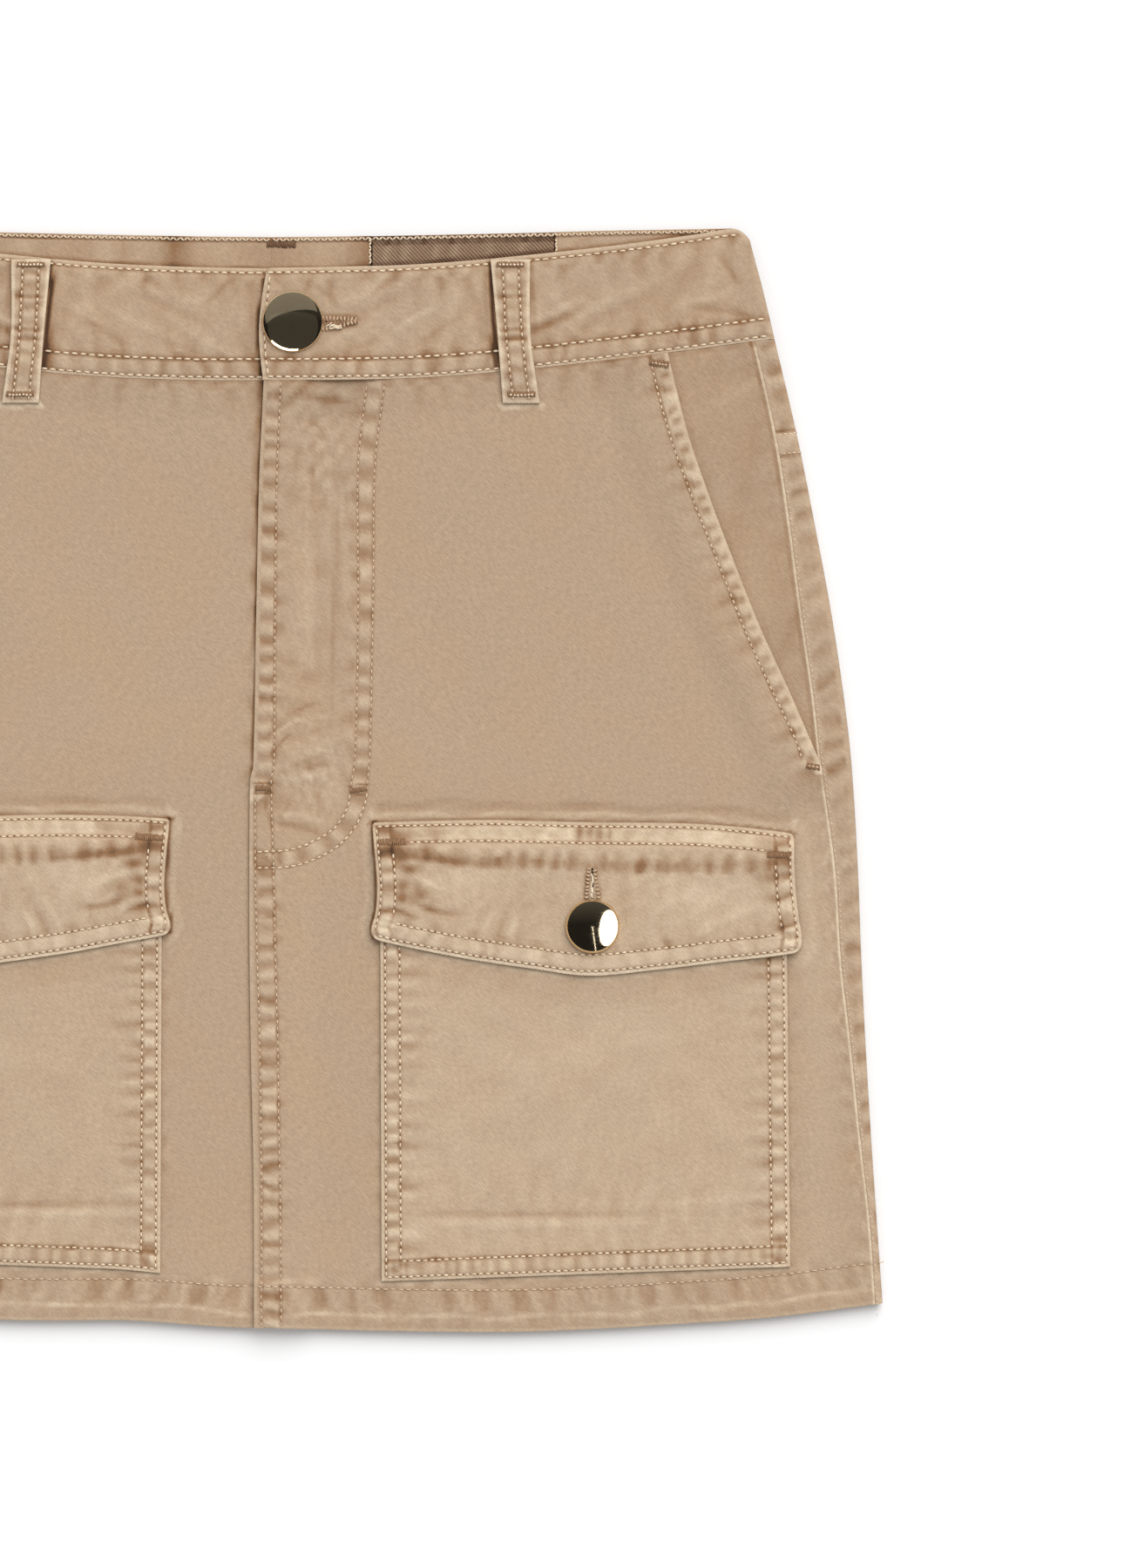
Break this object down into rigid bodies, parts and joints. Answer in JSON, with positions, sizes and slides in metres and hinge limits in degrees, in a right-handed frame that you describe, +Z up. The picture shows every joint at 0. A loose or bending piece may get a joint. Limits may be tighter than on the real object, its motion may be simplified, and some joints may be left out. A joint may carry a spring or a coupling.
{
  "type": "cargo utility skirt",
  "caption": "Cotton twill mini skirt with a fly front, slanted hip pockets, flapped cargo pockets and domed metal buttons, laid flat on its back.",
  "frame": {"origin": "on the surface the skirt lies on, under the middle of its outline", "axes": "+X across the skirt towards the side of the buttonhole, +Y from the hem to the waist, +Z up out of the face of the front"},
  "size_m": [0.4458, 0.4023, 0.0129],
  "materials": {
    "twill": "matte washed cotton twill",
    "inset_twill": "matte coarse cotton twill",
    "button_metal": "polished pale gold"
  },
  "bodies": {
    "root": {"front_left": "twill", "front_right": "twill", "hip_facing_left": "twill", "hip_facing_right": "twill", "back_left": "twill", "back_right": "twill", "yoke_left": "twill", "yoke_right": "twill", "waistband_left": "twill", "waistband_right": "twill", "band_facing_inset": "inset_twill", "belt_loop_front_left": "twill", "belt_loop_front_right": "twill", "belt_loop_back_left": "twill", "belt_loop_back_centre": "twill", "belt_loop_back_right": "twill", "cargo_pocket_left": "twill", "cargo_pocket_right": "twill", "pocket_flap_left": "twill", "pocket_flap_right": "twill", "waist_button": "button_metal", "flap_button_left": "button_metal", "flap_button_right": "button_metal"}
  },
  "joints": []
}
